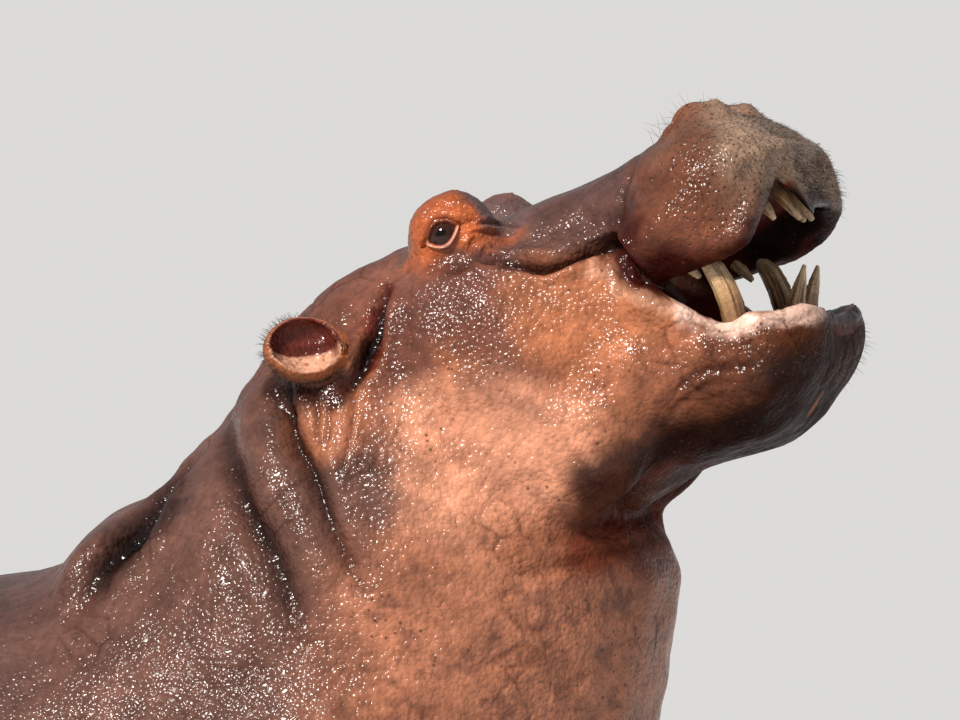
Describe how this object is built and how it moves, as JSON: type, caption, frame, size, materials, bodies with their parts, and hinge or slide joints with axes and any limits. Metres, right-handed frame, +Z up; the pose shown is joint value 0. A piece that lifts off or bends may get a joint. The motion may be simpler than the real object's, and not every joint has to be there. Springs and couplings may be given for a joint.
{
  "type": "hippopotamus",
  "caption": "Life-size standing hippopotamus, head raised and mouth half open, a still animal model for display.",
  "frame": {"origin": "middle of the length and width, at the level of the soles", "axes": "+X towards the nose, +Y to the animal's left, +Z up"},
  "size_m": [2.6432, 1.0187, 1.935],
  "materials": {
    "body_hide": "wet purple-brown hide, paler and pinker underneath",
    "face_hide": "wet brown and orange-pink hide with fine wrinkles",
    "ear": "thin orange-pink skin",
    "eye": "dark brown and glossy",
    "ivory": "ribbed, stained yellow-brown",
    "tongue": "wet dark pink",
    "nail": "dull grey-brown horn"
  },
  "bodies": {
    "root": {"ear_left": "ear", "ear_right": "ear", "eye_left": "eye", "eye_right": "eye", "foreleg_left": "body_hide", "foreleg_left_toenail_1": "nail", "foreleg_left_toenail_2": "nail", "foreleg_left_toenail_3": "nail", "foreleg_left_toenail_4": "nail", "foreleg_right": "body_hide", "foreleg_right_toenail_1": "nail", "foreleg_right_toenail_2": "nail", "foreleg_right_toenail_3": "nail", "foreleg_right_toenail_4": "nail", "head": "face_hide", "hindleg_left": "body_hide", "hindleg_left_toenail_1": "nail", "hindleg_left_toenail_2": "nail", "hindleg_left_toenail_3": "nail", "hindleg_left_toenail_4": "nail", "hindleg_right": "body_hide", "hindleg_right_toenail_1": "nail", "hindleg_right_toenail_2": "nail", "hindleg_right_toenail_3": "nail", "hindleg_right_toenail_4": "nail", "lower_canine_left": "ivory", "lower_canine_right": "ivory", "lower_cheek_teeth_left": "ivory", "lower_cheek_teeth_right": "ivory", "lower_incisor_inner_left": "ivory", "lower_incisor_inner_right": "ivory", "lower_incisor_outer_left": "ivory", "lower_incisor_outer_right": "ivory", "lower_jaw": "face_hide", "neck": "body_hide", "tail": "body_hide", "tongue": "tongue", "trunk": "body_hide", "upper_canine_left": "ivory", "upper_canine_right": "ivory", "upper_cheek_teeth_left": "ivory", "upper_cheek_teeth_right": "ivory", "upper_incisor_inner_left": "ivory", "upper_incisor_inner_right": "ivory", "upper_incisor_outer_left": "ivory", "upper_incisor_outer_right": "ivory"}
  },
  "joints": []
}
